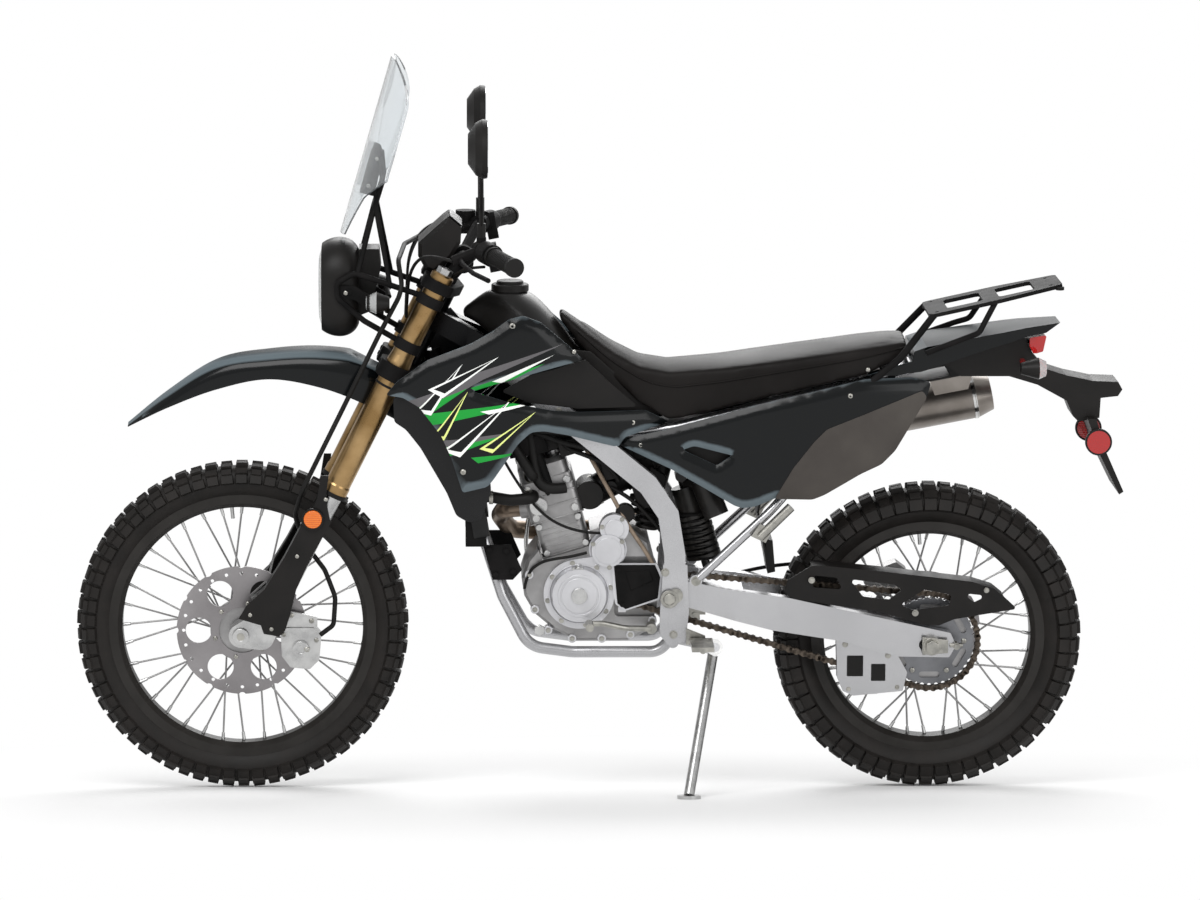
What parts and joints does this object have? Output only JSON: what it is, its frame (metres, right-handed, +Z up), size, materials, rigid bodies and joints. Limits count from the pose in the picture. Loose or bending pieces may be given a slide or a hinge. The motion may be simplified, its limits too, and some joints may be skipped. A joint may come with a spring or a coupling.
{
  "type": "dual sport motorcycle",
  "caption": "Single-cylinder dual sport motorcycle leaning on its side stand, with turning wheels, steering and stand.",
  "frame": {"origin": "on the floor under the middle of the machine's bounding box, as it leans on its stand", "axes": "-X is the front of the machine, -Y its left side and the stand's side, +Z is up"},
  "size_m": [2.19, 0.8414, 1.5349],
  "materials": {
    "charcoal_gloss": "gloss",
    "black_gloss": "gloss",
    "black_plastic": "matt",
    "tank_plastic": "satin",
    "seat_cover": "matt",
    "gold_fork": "satin",
    "frame_silver": "satin",
    "engine_silver": "satin",
    "dark_metal": "satin",
    "steel": "satin",
    "chrome": "polished",
    "stainless": "satin",
    "radiator_black": "satin",
    "tyre": "matt",
    "rim_black": "satin",
    "chain_steel": "oiled",
    "sprocket_grey": "satin",
    "rubber": "matt",
    "clear_lens": "polished",
    "smoke_screen": "polished",
    "red_lens": "gloss"
  },
  "bodies": {
    "chassis": {"frame": "frame_silver", "subframe": "frame_silver", "crankcase": "engine_silver", "cylinder": "engine_silver", "engine_covers": "engine_silver", "throttle_body": "black_plastic", "radiators": "radiator_black", "coolant_hoses": "rubber", "exhaust_header": "stainless", "muffler": "stainless", "swingarm": "frame_silver", "rear_axles": "steel", "shock": "steel", "drive_chain": "chain_steel", "chain_guard": "black_plastic", "chain_guide": "frame_silver", "rear_brake": "engine_silver", "fuel_tank": "tank_plastic", "fuel_cap": "black_plastic", "seat": "seat_cover", "shrouds": "charcoal_gloss", "air_scoops": "black_plastic", "tank_panels": "black_plastic", "side_covers": "charcoal_gloss", "tail_cowl": "charcoal_gloss", "rear_fender": "black_plastic", "rear_lights": "red_lens", "luggage_rack": "dark_metal", "foot_controls": "steel"},
    "steering": {"front_axle": "steel", "triple_clamps": "dark_metal", "fork_sleeves": "gold_fork", "fork_sliders": "engine_silver", "fork_guards": "black_plastic", "front_fender": "charcoal_gloss", "headlight": "black_plastic", "headlight_lens": "clear_lens", "fairing_bracket": "dark_metal", "windshield": "smoke_screen", "handlebar": "dark_metal", "grips": "rubber", "hand_controls": "dark_metal", "mirrors": "black_plastic", "instruments": "black_plastic", "front_indicators": "black_plastic", "front_caliper": "engine_silver", "brake_hose": "rubber"},
    "front_wheel": {"front_tyre": "tyre", "front_rim": "rim_black", "front_hub": "engine_silver", "front_disc": "steel"},
    "rear_wheel": {"rear_tyre": "tyre", "rear_rim": "rim_black", "rear_hub": "engine_silver", "rear_disc": "steel", "rear_sprocket": "sprocket_grey"},
    "side_stand": {"side_stand": "dark_metal"}
  },
  "joints": [
    {"name": "steer", "type": "hinge", "parent": "chassis", "child": "steering", "pos_m": [-0.37004, 0.03943, 0.9564], "axis": [0.4462, -0.14, 0.8839], "range_deg": [-43, 43]},
    {"name": "front_wheel_turn", "type": "hinge", "parent": "steering", "child": "front_wheel", "pos_m": [-0.745, 0.13604, 0.34643], "axis": [0, 0.9877, 0.1564], "continuous": true},
    {"name": "rear_wheel_turn", "type": "hinge", "parent": "chassis", "child": "rear_wheel", "pos_m": [0.695, 0.13964, 0.32371], "axis": [0, 0.9877, 0.1564], "continuous": true},
    {"name": "stand_swing", "type": "hinge", "parent": "chassis", "child": "side_stand", "pos_m": [0.24, 0.01452, 0.30187], "axis": [-0.2203, 0.9747, -0.0385], "range_deg": [-117.95, 0]}
  ]
}
